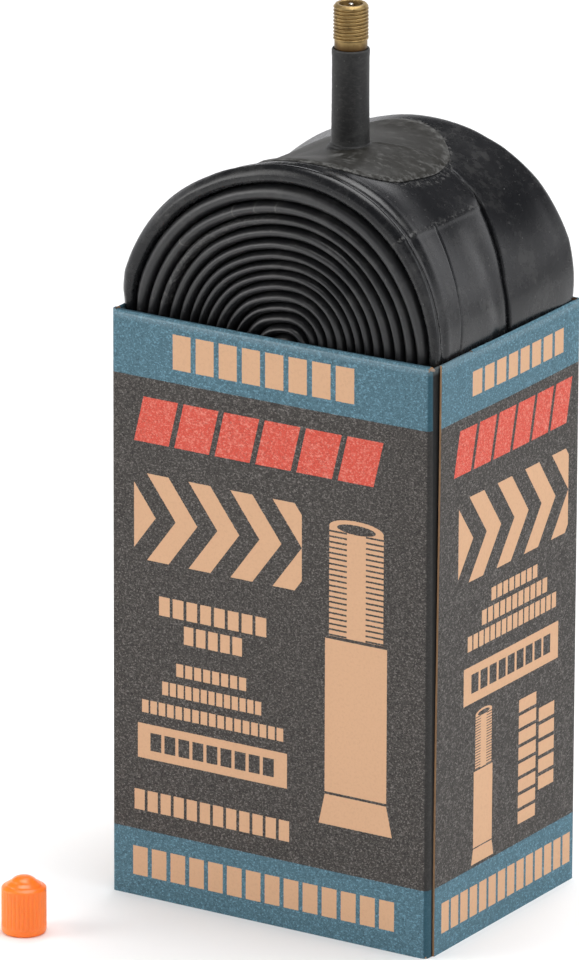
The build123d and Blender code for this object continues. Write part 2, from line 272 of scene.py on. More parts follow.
def outward(points, faces):
    """The same faces, turned over if the shell's signed volume is negative."""
    volume = 0.0
    for group in faces:
        corner = points[group]
        for k in range(1, group.shape[1] - 1):
            volume += np.einsum("ij,ij->i", corner[:, 0],
                                np.cross(corner[:, k], corner[:, k + 1])).sum()
    return [group[:, ::-1] for group in faces] if volume < 0 else faces


def piece(name, shells, finishes, body, nodes, crease=35.0,
          attributes=None, second=()):
    """One object from closed shells in millimetres. Face groups whose number
    is in second take the second finish."""
    points, groups, start = [], [], 0
    for shell_points, faces in shells:
        groups += [group + start for group in outward(shell_points, faces)]
        points.append(shell_points)
        start += len(shell_points)
    points = np.vstack(points) * MM
    mesh = bpy.data.meshes.new(name)
    sizes = np.concatenate([np.full(len(g), g.shape[1]) for g in groups])
    corners = np.concatenate([g.ravel() for g in groups])
    mesh.vertices.add(len(points))
    mesh.vertices.foreach_set("co", points.ravel())
    mesh.loops.add(len(corners))
    mesh.loops.foreach_set("vertex_index", corners)
    mesh.polygons.add(len(sizes))
    mesh.polygons.foreach_set("loop_start", np.cumsum(sizes) - sizes)
    mesh.polygons.foreach_set(
        "material_index",
        np.concatenate([np.full(len(g), int(k in second))
                        for k, g in enumerate(groups)]))
    for key, values in (attributes or {}).items():
        made = mesh.attributes.new(key, "FLOAT", "POINT")
        made.data.foreach_set("value", np.asarray(values, float).ravel())
    mesh.update(calc_edges=True)
    mesh.validate()
    mesh.shade_smooth()
    mesh.set_sharp_from_angle(angle=radians(crease))
    for finish in finishes:
        mesh.materials.append(finish)
    made = bpy.data.objects.new(name, mesh)
    bpy.context.scene.collection.objects.link(made)
    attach(made, body)
    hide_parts(*nodes)
    return made


def paint(node, finish):
    """Give a CAD node a new finish."""
    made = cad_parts[node]
    made.data.materials.clear()
    made.data.materials.append(finish)


def smooth(low, high, value):
    """Smoothstep: 0 below low, 1 above high."""
    t = np.clip((value - low) / (high - low), 0, 1)
    return t * t * (3 - 2 * t)


def ridge(distance, width):
    """Bell curve, 1 where distance is 0."""
    return np.exp(-(distance / width) ** 2)


# --- rolled tube --------------------------------------------------------
# Radii of the grooves between layers straight above the roll's centre.
GROOVES = np.array([1.7, 4.0, 6.2, 8.7, 11.0, 13.5, 15.9, 18.2, 20.4, 22.7,
                    25.3, 28.1, 30.6, 33.6, 37.6, 41.5])


def on_circle(radius, angle):
    """X and Z at a radius from the roll's centre, angle from upright."""
    turned = np.radians(angle)
    return np.stack([ROLL_X + radius * np.sin(turned),
                     ROLL_Z + radius * np.cos(turned)], axis=-1)


def with_y(flat, y):
    """X and Z points with a Y put between."""
    return np.stack([flat[..., 0], y, flat[..., 1]], axis=-1)


def groove_radius(layer, angle):
    """Radius under an upper layer: the groove's radius above the centre, plus
    the roll's squash, which changes with the angle from upright."""
    squash = np.interp(angle, [-90, -80, -60, -45, -30, -15, 0, 15, 30, 45,
                               60, 75, 90],
                       [2.6, 2.4, 1.6, 1.0, .3, -.05, 0, .4, .7, .7, .4,
                        -.1, -.6])
    outline = np.interp(angle, [-90, -83, -80, -75, -60, -45, -30, -15, 0, 15,
                                30, 45, 60, 75, 90],
                        [-.4, .4, 1.1, 1.6, 1.0, .4, -.4, -.6, -.1, .4, .8,
                         .5, -.4, -1.4, -2.7])
    share = np.clip(layer - (LAYERS - 2), 0, 2) / 2
    core = np.clip(layer / 3, 0.3, 1)
    shift = squash * core * (1 - share) + outline * share
    return GROOVES[layer] + shift


def lower_radius(layer, share):
    """Radius under a lower layer: a straight blend from the upper layer one
    further in, at the left, to the one further out, at the right."""
    left = groove_radius(layer - 1, -90.0)
    right = groove_radius(layer + 1, 90.0)
    lift = 1.75 * layer / (LAYERS - 1)
    return left + (right - left) * share - lift * np.sin(pi * share)


def strand(start, stop):
    """One strand of the doubled tube from half-turn start to stop, spiralling
    outwards anticlockwise: its middle points, half thicknesses and layers."""
    points, halves, layers = [], [], []
    share = (np.arange(STRAND_STEPS) + 0.5) / STRAND_STEPS
    for turn in range(start, stop):
        if (turn - start) % 2 == 0:
            angle = 90 - 180 * share
            inner = groove_radius(turn, angle)
            outer = groove_radius(turn + 1, angle)
        else:
            angle = -90 - 180 * share
            inner = lower_radius(turn, share)
            outer = lower_radius(turn + 1, share)
        points.append(on_circle((inner + outer) / 2, angle))
        halves.append((outer - inner) / 2)
        layers += [turn] * STRAND_STEPS
    return np.vstack(points), np.concatenate(halves), layers


def turn_back(outer_point, inner_point, half):
    """Half circle below two layers' ends, where the tube folds back."""
    centre = (outer_point + inner_point) / 2
    radius = abs(outer_point[0] - inner_point[0]) / 2
    side = np.sign(outer_point[0] - inner_point[0])
    angle = np.linspace(0, pi, 13)[1:-1]
    points = np.stack([centre[0] + side * radius * np.cos(angle),
                       centre[1] - 1.2 * radius * np.sin(angle)], axis=-1)
    return points, half * (1 - 0.12 * np.sin(angle))


def layer_end(layer, angle):
    """Middle point and half thickness of an upper layer at one angle."""
    inner = groove_radius(layer, angle)
    outer = groove_radius(layer + 1, angle)
    return on_circle((inner + outer) / 2, angle), (outer - inner) / 2


def fold_profile(back_depth, face_steps, back_steps):
    """Closed outline of a flattened tube, point by point: across is -1 to 1
    through its thickness, front is how far the point stands behind the front
    edge, back how far before the back edge, and weight is the back's share."""
    angle = np.linspace(-pi / 2, pi / 2, FOLD_STEPS)
    share = (np.arange(face_steps) + 1) / (face_steps + 1)
    rear = (np.arange(back_steps) + 1) / (back_steps + 1)
    edge = np.zeros(FOLD_STEPS)
    across = np.concatenate([np.sin(angle), np.ones(face_steps),
                             np.sin(-angle), -np.ones(back_steps)])
    front = FOLD_DEPTH * np.concatenate([1 - np.cos(angle), 1 - share, edge,
                                         rear])
    back = back_depth * np.concatenate([edge, share, 1 - np.cos(angle),
                                        1 - rear])
    weight = np.concatenate([edge, share, edge + 1, 1 - rear])
    return across, front, back, weight


def coil_shell():
    """Every layer but the outermost: a flattened tube's outline carried along
    the doubled spiral, from the fold at the left to the outermost layer's
    right end."""
    outer_end, outer_half = layer_end(LAYERS - 1, -90.0)
    fold_end, fold_half = layer_end(LAYERS - 2, -90.0)
    core_one, core_half = layer_end(1, 90.0)
    core_zero, _ = layer_end(0, 90.0)
    last, last_half = layer_end(LAYERS - 1, 90.0)
    odd, odd_half, odd_layer = strand(1, LAYERS - 1)
    even, even_half, even_layer = strand(0, LAYERS - 1)
    first_fold = turn_back(outer_end, fold_end, (outer_half + fold_half) / 2)
    core_fold = turn_back(core_one, core_zero, core_half * 0.95)
    points = np.vstack([outer_end[None], first_fold[0], odd[::-1],
                        core_fold[0], even, last[None]])
    half = np.concatenate([[outer_half], first_fold[1], odd_half[::-1],
                           core_fold[1], even_half, [last_half]])
    step = np.gradient(points, axis=0)
    step /= np.linalg.norm(step, axis=1)[:, None]
    normal = np.stack([-step[:, 1], step[:, 0]], axis=-1)
    run = np.concatenate([[0], np.cumsum(np.linalg.norm(
        np.diff(points, axis=0), axis=1))])
    ends = smooth(0, 20, run) * smooth(0, 20, run[-1] - run)
    wander = ends * (0.22 * np.sin(run / 19) + 0.14 * np.sin(run / 6.1 + 1))
    front = ROLL_LOW[1] + wander
    rear = ROLL_HIGH[1] + ends * 0.4 * np.sin(run / 27 + 2)
    across, front_part, back_part, weight = fold_profile(REAR_DEPTH, 12, 10)
    flat = half[:, None] * across * LAYER_FILL
    y = (front[:, None] + front_part) * (1 - weight) \
        + (rear[:, None] - back_part) * weight
    rings = np.stack([points[:, :1] + normal[:, :1] * flat, y,
                      points[:, 1:] + normal[:, 1:] * flat], axis=-1)
    layer = np.concatenate([[0], 0 * first_fold[1], odd_layer[::-1],
                            0 * core_fold[1], even_layer, [0]])
    return ring_shell(rings), np.append(np.repeat(layer, rings.shape[1]),
                                        [0, 0])


def rear_edge(angle):
    """Where the outermost layer's back edge lies along Y."""
    return np.interp(angle, [-90, -40, -10, 5, 20, 45, 82, 90],
                     [28.45, 27.0, 26.6, 27.6, 29.0, 29.8, 29.8, 28.45])


def crease_line(angle):
    """Where the long crease behind the patch runs along Y."""
    return np.interp(angle, [-90, 0, 29, 44, 53, 60, 68, 83, 90],
                     [3.4, 3.4, 8.0, 7.7, 6.0, 5.0, 3.8, 3.2, 3.0])


def fine_line(angle):
    """Where the thin moulding line near the front runs along Y."""
    return np.interp(angle, [-90, 45, 60, 83, 90],
                     [-12.6, -12.6, -15.0, -18.0, -18.4])


def fold_line(angle):
    """Where the front fold's rear edge runs along Y."""
    return np.interp(angle, [-90, 40, 75, 90], [-22.6, -22.6, -24.2, -24.4])


def outer_relief(angle, y):
    """Height added to the outermost layer: a bead along its front edge with a
    groove behind it, the crease and seams right of the patch, the hollow
    between the stiff folds, the bulge at the back right, and slow waves."""
    arc = np.radians(angle) * SKIN_R
    ends = smooth(0, 6, 90 - np.abs(angle))
    fold = y - fold_line(angle)
    bead = 0.50 * ridge(fold + 3.2, 1.3) - 0.34 * ridge(fold + 0.8, 1.1) \
        + 0.08 * ridge(fold - 1.4, 1.0)
    sag = np.interp(angle, [-90, -60, -30, -12, 0, 20, 40, 60, 90],
                    [0.3, 1.4, 2.4, 2.2, 1.9, 1.2, 0.8, 0.6, 0.2]) \
        * smooth(-22, -9, y) * (1 - 0.75 * smooth(14, 27, y))
    bulge = np.interp(angle, [25, 50, 65, 75, 82, 90],
                      [0, 1.2, 1.7, 1.1, 0.6, 0]) * smooth(4, 24, y)
    gap = y - crease_line(angle)
    deep = smooth(39, 46, angle)
    crease = -0.85 * np.exp(np.minimum(gap, 0) / 1.9) * (gap <= 0.05) * deep \
        - 0.55 * ridge(gap, 0.16) * smooth(31, 42, angle) \
        + 0.14 * ridge(gap, 0.5) * smooth(28, 31, angle) * (1 - deep)
    splice = 0.14 * ridge(arc - np.radians(44.8) * SKIN_R, 0.45) \
        * (1 - smooth(7.2, 8.2, y))
    fine = -0.26 * ridge(y - fine_line(angle), 0.2) * smooth(43, 48, angle)
    hollow = -0.40 * ridge(y + 2.5 - 0.05 * (angle - 50), 2.6) \
        * smooth(46, 60, angle)
    slow = 0.16 * np.sin(arc / 9.5 + y / 7) * np.sin(y / 8.5 + 1.2) \
        + 0.07 * np.sin(arc / 4.6 - y / 5.2)
    slow = slow * smooth(0, 8, y + 23) * smooth(0, 4, 28 - y)
    return ends * (bead + crease + splice + fine + hollow + slow + bulge
                   - sag)


def outer_columns(angle):
    """Y of the outermost layer's columns: even steps between its edges, with
    close columns that follow the fold, the fine line and the crease."""
    near = np.array([-.9, -.5, -.28, -.14, 0, .07, .16, .3, .55, .95])
    # line, even steps behind it, scale of the close columns on it
    stops = [(-25.9 + 0 * angle, 8, 0), (fold_line(angle) - 1.0, 5, .5),
             (fold_line(angle), 22, 1), (fine_line(angle), 34, 1),
             (crease_line(angle), 30, 1),
             (rear_edge(angle) - REAR_DEPTH, 0, 0)]
    columns = []
    for (line, steps, scale), (ahead, _, ahead_scale) in zip(stops, stops[1:]):
        first = line + near[-1] * scale
        last = ahead - near[-1] * ahead_scale
        share = (np.arange(steps) + 0.5) / steps
        columns.append(first[:, None] + (last - first)[:, None] * share)
        if ahead_scale:
            columns.append(ahead[:, None] + near * ahead_scale)
    return np.concatenate(columns, axis=1)


def outer_shell():
    """The outermost layer over the top of the roll: a flattened tube's
    outline carried round from right to left, with the relief on top."""
    angle = np.linspace(90, -90, OUTER_STEPS)
    inner = groove_radius(LAYERS - 1, angle)
    outer = groove_radius(LAYERS, angle)
    face = outer_columns(angle)
    across, front_part, back_part, weight = fold_profile(
        REAR_DEPTH, face.shape[1], 12)
    y = (ROLL_LOW[1] + front_part) * (1 - weight) \
        + (rear_edge(angle)[:, None] - back_part) * weight
    y[:, FOLD_STEPS:FOLD_STEPS + face.shape[1]] = face
    middle = ((inner + outer) / 2)[:, None]
    half = ((outer - inner) / 2 * OUTER_FILL)[:, None]
    upper = np.clip(across + 0.2, 0, 1)
    radius = middle + half * across \
        + upper * outer_relief(angle[:, None], y)
    return ring_shell(with_y(on_circle(radius, angle[:, None]), y))


def on_roll(arc, y, height):
    """Point a height above the outermost layer's skin, arc millimetres round
    from the valve and y along the roll."""
    angle = np.degrees((arc + VALVE_X - ROLL_X) / PATCH_R)
    radius = groove_radius(LAYERS, angle) + height + outer_relief(angle, y)
    return with_y(on_circle(radius, angle), y)


def patch_shell():
    """Valve patch: a disc in polar steps laid over the roll, domed by the
    valve's base, with a thin rounded rim and the tube's parting line."""
    turn = np.linspace(0, tau, 160, endpoint=False)
    share = np.concatenate([np.linspace(0.02, 0.94, 56),
                            [0.965, 0.985, 0.997, 1.0]])
    power = 2 / 2.25
    edge_x = 21.4 * np.sign(np.cos(turn)) * np.abs(np.cos(turn)) ** power
    edge_y = 21.7 * np.sign(np.sin(turn)) * np.abs(np.sin(turn)) ** power
    edge_x = edge_x + 0.25 * np.sin(5 * turn) + 0.12 * np.sin(13 * turn + 1)
    edge_y = edge_y + 0.2 * np.sin(4 * turn + 2)
    arc = share[:, None] * edge_x
    y = VALVE_Y + share[:, None] * edge_y
    far = np.hypot(arc, y - VALVE_Y)
    height = 0.55 * (1 - smooth(0.93, 1.0, share) * 0.75)[:, None] \
        + 0.12 * ridge(far, 6.0) \
        + 0.05 * np.sin(arc / 2.3 + 1) * np.sin(y / 3.1)
    line_y = np.interp(arc, [0, 4.5, 21], [3.4, 3.6, 8.0])
    height = height + 0.22 * ridge(y - line_y, 0.4) * smooth(3, 6, arc)
    top = on_roll(arc, y, height)
    under = on_roll(arc[::-1][:1] * 0.99, y[::-1][:1], -0.5)
    middle = on_roll(arc[:1] * 0.5, y[:1], -0.5)
    return ring_shell(np.concatenate([top, under, middle]))


# --- turned parts -------------------------------------------------------
def turned_shell(profile, x, y, steps=96, shape=None):
    """Shell of revolution: radius and height pairs carried round an upright
    axis. shape(radius, height, turn) may change the radius."""
    profile = np.asarray(profile, float)
    turn = np.linspace(0, tau, steps, endpoint=False)
    radius = np.repeat(profile[:, :1], steps, axis=1)
    height = np.repeat(profile[:, 1:], steps, axis=1)
    if shape:
        radius = shape(radius, height, turn[None, :])
    rings = np.stack([x + radius * np.cos(turn), y + radius * np.sin(turn),
                      height], axis=-1)
    return ring_shell(rings)


def rounded(points, steps=5):
    """Profile with its corners (radius, height, rounding) cut to arcs, each a
    quadratic curve between the two tangent points."""
    made = []
    count = len(points)
    for k, (r, z, rounding) in enumerate(points):
        here = np.array([r, z])
        if rounding and 0 < k < count - 1:
            before = np.array(points[k - 1][:2]) - here
            after = np.array(points[k + 1][:2]) - here
            start = here + before / np.linalg.norm(before) * rounding
            stop = here + after / np.linalg.norm(after) * rounding
            for t in np.linspace(0, 1, steps):
                made.append((1 - t) ** 2 * start + 2 * t * (1 - t) * here
                            + t * t * stop)
        else:
            made.append(here)
    return np.array(made)


def sleeve_profile():
    """Rubber sleeve: flared foot, moulding rings, straight wall, round lip."""
    low, top = SLEEVE_FOOT, SLEEVE_TOP
    return rounded([
        (0.02, low, 0), (5.6, low, 0), (5.2, low + 1.0, 0.3),
        (4.62, low + 1.45, 0.3), (4.58, low + 1.75, 0.12),
        (4.28, low + 2.0, 0.15), (4.2, low + 2.9, 0.3),
        (4.15, low + 8.0, 1.0), (4.10, low + 14.0, 1.0),
        (4.10, top - 1.9, 0.3), (4.16, top - 1.4, 0.2),
        (4.16, top - 0.05, 0.35), (3.8, top, 0.1), (3.66, top - 0.5, 0.1),
        (0.02, top - 0.5, 0)])


def thread_shape(radius, height, turn):
    """Screw thread: a rounded sawtooth of the height less the turn's share of
    the pitch, fading out at both ends."""
    phase = (height / THREAD_PITCH - turn / tau) % 1.0
    tooth = smooth(0.12, 0.88, np.abs(phase - 0.5) * 2)
    low = BRASS_TOP - 7.75
    high = BRASS_TOP - 0.55
    inside = smooth(low - 0.1, low + 0.5, height) \
        * (1 - smooth(high - 0.35, high + 0.1, height))
    return np.where(radius > 3.3, radius - 0.45 * (1 - tooth) * inside,
                    radius)


def brass_profile():
    """Brass stem: plain neck, threaded length, chamfered mouth and bore."""
    low, top = BRASS_LOW[2], BRASS_TOP
    rows = [(0.02, low), (2.95, low), (2.95, SLEEVE_TOP - 0.6),
            (3.6, SLEEVE_TOP - 0.6), (3.6, top - 8.05), (3.85, top - 7.8)]
    rows += [(3.85, z) for z in np.linspace(top - 7.65, top - 0.62, 118)]
    rows += [(3.82, top - 0.58), (3.35, top - 0.06), (3.22, top),
             (2.78, top), (2.6, top - 0.12), (2.6, top - 6.05),
             (2.4, top - 6.35), (2.0, top - 8.55), (1.95, top - 8.85),
             (1.95, low + 0.3), (0.02, low + 0.3)]
    return rows


def spring_shell(low, high):
    """Round wire carried up a helix that just fills the box from low to
    high."""
    wire, turns = 0.11, 8
    share = np.linspace(0, 1, turns * 22 + 1)
    turn = tau * turns * share
    reach = (high[0] - low[0]) / 2 - wire
    middle = np.stack([reach * np.cos(turn), reach * np.sin(turn),
                       low[2] + wire + (high[2] - low[2] - 2 * wire) * share],
                      axis=-1) + [VALVE_X, VALVE_Y, 0]
    out = np.stack([np.cos(turn), np.sin(turn), 0 * turn], axis=-1)
    up = np.array([0.0, 0.0, 1.0])
    about = np.linspace(0, tau, 10, endpoint=False)[None, :, None]
    return ring_shell(middle[:, None] + wire * (out[:, None] * np.cos(about)
                                                + up * np.sin(about)))


def cap_shape(depth):
    """Radius cut by upright ribs between the mouth band and the shoulder."""
    def cut(radius, height, turn):
        ribs = np.abs(np.sin(turn * 16)) ** 0.7
        low = CAP_LOW[2]
        inside = smooth(low + 1.5, low + 1.9, height) \
            * (1 - smooth(low + 9.8, low + 10.3, height))
        return np.where(radius > 4.3, radius - depth * (1 - ribs) * inside,
                        radius)
    return cut


def cap_profile():
    """Dust cap: bore, mouth band, ribbed side, cone, groove and low dome."""
    start = rounded([
        (0.02, 9.5, 0), (3.6, 9.5, 0.3), (3.95, 9.0, 0.2), (3.95, 0.5, 0.2),
        (4.25, 0, 0.15), (4.62, 0, 0.2), (4.95, 0.45, 0.3),
        (4.98, 1.45, 0.12)])
    side = np.array([(4.98, z) for z in np.linspace(1.6, 9.9, 26)])
    end = rounded([
        (4.98, 10.0, 0), (4.95, 10.25, 0.12), (4.62, 10.58, 0.15),
        (4.25, 10.72, 0.15), (3.95, 10.85, 0.12), (3.75, 11.15, 0.15),
        (3.2, 11.5, 0.2), (2.9, 11.68, 0.15), (2.6, 12.05, 0.2),
        (2.0, 12.5, 0.4), (1.1, 12.8, 0.3), (0.02, 12.85, 0)], 6)
    return np.vstack([start, side, end]) + [0, CAP_LOW[2]]


# --- carton -------------------------------------------------------------
SIDES = {
    # along, out, half length, distance of the outer face
    "front": ((1, 0), (0, -1), HALF_WIDTH, HALF_DEPTH),
    "right": ((0, 1), (1, 0), HALF_DEPTH, HALF_WIDTH),
    "back": ((-1, 0), (0, 1), HALF_WIDTH, HALF_DEPTH),
    "left": ((0, -1), (-1, 0), HALF_DEPTH, HALF_WIDTH),
}


def bowed(points, bow):
    """Push the walls outwards: most at the middle of each wall and at the top,
    by a cosine across the wall times the square of the height."""
    x, y, z = points[..., 0], points[..., 1], points[..., 2]
    x, y = x * PLAN_SCALE, y * PLAN_SCALE
    rise = bow * (z / CARTON_TOP) ** 2
    out_x = smooth(36, 38.5, np.abs(x)) * np.cos(y / HALF_DEPTH * pi / 2)
    out_y = smooth(25.5, 28, np.abs(y)) * np.cos(x / HALF_WIDTH * pi / 2)
    return np.stack([x + np.sign(x) * rise * np.clip(out_x, 0, 1),
                     y + np.sign(y) * rise * np.clip(out_y, 0, 1), z], axis=-1)


def arc_line(centre, radius, start, stop, steps=7):
    """Points on an arc; 0 degrees points straight out of the wall."""
    angle = np.radians(np.linspace(start, stop, steps))
    return np.stack([centre[0] + radius * np.sin(angle),
                     centre[1] + radius * np.cos(angle)], axis=-1)


def wall_line(side, depth):
    """One wall's outline seen from above, depth inside its outer face: a
    straight line with half of each corner bend, or the seam at its end."""
    _, _, reach, offset = SIDES[side]
    stop, level = reach - CORNER_R, offset - CORNER_R
    start = -stop
    parts = []
    if side == "right":
        start = -(HALF_DEPTH - SEAM_SETBACK - 0.25)
    else:
        parts.append(arc_line((start, level), CORNER_R - depth, -45, 0))
    if side == "front":
        stop = HALF_WIDTH - BOARD - SEAM_R
    straight = np.linspace(start, stop, 66)
    straight = straight[(0 if side == "right" else 1):-1]
    parts.append(np.stack([straight, np.full(len(straight), offset - depth)],
                          axis=-1))
    if side == "front":
        parts.append(arc_line((stop, offset - SEAM_R), SEAM_R - depth, 0, 90,
                              12))
        glue = np.linspace(offset - SEAM_R, GLUE_END, 12)[1:]
        parts.append(np.stack([np.full(11, HALF_WIDTH - BOARD - depth), glue],
                              axis=-1))
    else:
        parts.append(arc_line((stop, level), CORNER_R - depth, 0, 45))
    return np.vstack(parts)


def to_plan(side, line):
    """Wall coordinates, along and out, turned into X and Y."""
    along, out, _, _ = SIDES[side]
    return line @ np.array([along, out], float)


def lifted(points):
    """Spring the right wall's free edge open: most at the top and the edge."""
    x, y, z = points[..., 0], points[..., 1], points[..., 2]
    open_edge = (1 - smooth(0, 9, y + HALF_DEPTH - SEAM_SETBACK)) \
        * smooth(10, CARTON_TOP, z)
    return np.stack([x + SPRUNG_X * open_edge, y + SPRUNG_Y * open_edge, z],
                    axis=-1)


def wall_shell(side, flap, bow):
    """One carton wall: its outline carried upwards, lower where a flap's fold
    continues it."""
    rows = 46
    grids = []
    for depth in (0.0, BOARD):
        line = wall_line(side, depth)
        top = np.full(len(line), CARTON_TOP - 0.02)
        if flap:
            low, high, fold = flap
            inside = (line[:, 0] > low) & (line[:, 0] < high) \
                & (line[:, 1] > SIDES[side][3] - depth - 0.1)
            top[inside] = fold
        if side == "front":
            top = top - 0.7 * np.clip((line[:, 0] - SEAM_X + 0.1) / 1.2, 0, 1)
        plan = np.repeat(to_plan(side, line)[None], rows, 0)
        z = np.linspace(0, 1, rows)[:, None] * top
        grid = bowed(np.concatenate([plan, z[..., None]], axis=-1), bow)
        if side == "right":
            grid = lifted(grid)
        grids.append(grid)
    return sheet_shell(*grids)


def flap_shell(side, low, high, depth, bottom, bow):
    """Folded flap: half a turn of board over the wall's top, then straight
    down inside it, its lower corners cut back."""
    radius = (depth - BOARD) / 2
    centre = SIDES[side][3] - BOARD / 2 - radius
    fold = CARTON_TOP - radius - BOARD / 2
    turn = np.linspace(0, pi, 13)
    hang = np.linspace(fold, bottom, 34)[1:]
    normal_out = np.concatenate([np.cos(turn), 0 * hang - 1])
    normal_up = np.concatenate([np.sin(turn), 0 * hang])
    out = centre + radius * normal_out
    up = np.concatenate([fold + radius * np.sin(turn), hang])
    share = np.linspace(0, 1, 60)
    cut = 3.0 * smooth(bottom + 9, bottom, up)
    start, stop = low + cut, high - cut
    along = start[:, None] + (stop - start)[:, None] * share
    grids = []
    for half in (BOARD / 2, -BOARD / 2):
        across = (out + normal_out * half)[:, None] + 0 * share
        z = (up + normal_up * half)[:, None] + 0 * share
        plan = to_plan(side, np.stack([along, across], axis=-1))
        grids.append(bowed(np.concatenate([plan, z[..., None]], axis=-1), bow))
    return sheet_shell(*grids), (low, high, fold)


# --- finishes -----------------------------------------------------------
def rubber_finish(name, colour, dust, size=1.0, rough=0.30, marks=None,
                  shine=0.40):
    """Vulcanised rubber: near black, with talc dust in clouds, sparse pale
    specks, faint mottling, a fine grain and the piece's own marks."""
    f = Finish(name)
    cloud = f.noise(8 * size, 4, 0.6)
    mottle = f.noise(1.6 * size, 4, 0.65)
    grain = f.noise(0.25, 2, 0.6)
    speck = f.noise(0.75, 1, 0.4)
    powder = f.band(cloud * 0.6 + mottle * 0.4, 0.46, 0.70) * dust
    powder = powder + f.band(mottle, 0.60, 0.78) * (dust * 0.5)
    powder = powder + f.band(speck, 0.735, 0.78) * (dust * 2.2)
    if marks:
        powder = powder + marks(f)
    powder = powder.held()
    base = f.mix(powder, colour, (0.085, 0.084, 0.08, 1))
    height = grain * 0.45 + mottle * 0.7 + cloud * 0.5
    return f.surface(Base_Color=base,
                     Roughness=rough + 0.12 * mottle + 0.2 * powder,
                     Specular_IOR_Level=shine,
                     Normal=f.bump(height, 0.05, 0.6))


def board_colour(f, ink, light, dark, amount=1.0):
    """Ink on kraft board: fibres show lighter and pores darker."""
    fleck = f.noise(0.42, 3, 0.8, stretch=(0.7, 0.7, 1.0))
    pore = f.noise(0.36, 3, 0.8)
    blot = f.noise(1.3, 3, 0.6)
    base = f.mix(f.band(blot, 0.48, 0.75) * 0.35, ink, light)
    base = f.mix(f.band(fleck, 0.52, 0.62) * (0.85 * amount), base, light)
    return f.mix(f.band(pore, 0.52, 0.62) * (0.9 * amount), base, dark)


def block(u, v, left, right, low, high):
    """1 inside an upright rectangle."""
    return (abs(u - (left + right) / 2) < (right - left) / 2) \
        * (abs(v - (low + high) / 2) < (high - low) / 2)


def row(u, v, left, right, low, high, count, fill=0.78):
    """A row of equal blocks that stands in for a line of print."""
    pitch = (right - left) / (count - 1 + fill)
    return block(u, v, left, right, low, high) \
        * ((u - left) / pitch % 1.0 < fill)


def chevrons(u, v, left, right, low, high, count):
    """Thick arrowheads pointing along the row."""
    pitch = (right - left) / count
    lean = u + abs(v - (low + high) / 2) * 0.75
    return block(u, v, left, right, low, high) \
        * ((lean - left) % pitch < pitch * 0.52)


def valve_picture(u, v, middle, low, size):
    """Drawing of a valve: flared foot, plain sleeve and hatched thread."""
    a = abs(u - middle) / size
    h = (v - low) / size
    foot = (a < 9.4 - 0.22 * h) * (h > 0.0) * (h < 7.0)
    sleeve = (a < 7.9) * (h > 7.6) * (h < 43.0)
    thread = (a < 6.9) * (h > 43.7) * (h < 68.5)
    hatch = ((h % 1.25) < 0.42) * (a > 2.4)
    thread = thread * (1 - hatch)
    mouth = ((a / 6.9) ** 2 + ((h - 68.9) / 2.0) ** 2) < 1.0
    bore = ((a / 4.9) ** 2 + ((h - 68.9) / 1.1) ** 2) < 1.0
    return (foot + sleeve + thread + mouth * (h > 68.5)).held() * (1 - bore)


def either(masks):
    """1 where any of the masks is 1."""
    return sum(masks[1:], masks[0]).held()


def front_marks(u, v):
    """Kraft-coloured and red shapes on a wide wall."""
    lines = [
        row(u, v, -25.0, 21.5, 123.8, 131.8, 8),
        chevrons(u, v, -35.2, 8.3, 78.8, 98.8, 4),
        row(u, v, -28.7, -0.8, 66.6, 71.0, 8),
        row(u, v, -22.2, -7.1, 61.0, 65.2, 5),
        row(u, v, -24.2, -6.0, 53.2, 56.2, 8),
        row(u, v, -27.9, -2.1, 48.3, 51.4, 13),
        row(u, v, -33.2, 3.6, 43.3, 46.3, 17),
        block(u, v, -34.3, 4.6, 32.6, 40.7)
        * (1 - row(u, v, -31.0, 1.2, 34.6, 38.8, 9)),
        row(u, v, -35.2, 5.2, 20.3, 25.1, 12),
        row(u, v, -35.6, 32.3, 4.8, 11.6, 14),
        valve_picture(u, v, 22.2, 26.4, 1.0),
    ]
    slant = u - (v - 105.8) * 0.24
    return either(lines), row(slant, v, -35.2, 26.4, 105.9, 116.3, 6, 0.86)


def side_marks(u, v):
    """Kraft-coloured and red shapes on a narrow wall."""
    lines = [
        row(u, v, -15.0, 23.5, 124.6, 130.2, 8),
        chevrons(u, v, -20.0, 26.5, 82.5, 102.0, 4),
        row(u, v, -6.0, 13.5, 75.6, 78.6, 8),
        row(u, v, -9.9, 17.8, 71.0, 74.4, 11),
        row(u, v, -15.7, 21.8, 66.4, 69.9, 16),
        block(u, v, -17.2, 22.9, 54.2, 62.8)
        * (1 - row(u, v, -14.0, 19.5, 56.4, 60.8, 9)),
        row(v, u, 20.0, 49.0, 6.4, 13.8, 8),
        row(v, u, 25.5, 44.6, 15.0, 21.6, 5),
        row(u, v, -25.6, 29.1, 4.4, 11.4, 14),
        valve_picture(u, v, -8.6, 16.4, 0.5) * (v > 16.4),
    ]
    slant = u - (v - 107.0) * 0.24
    return either(lines), row(slant, v, -22.5, 25.0, 107.9, 118.0, 6, 0.86)


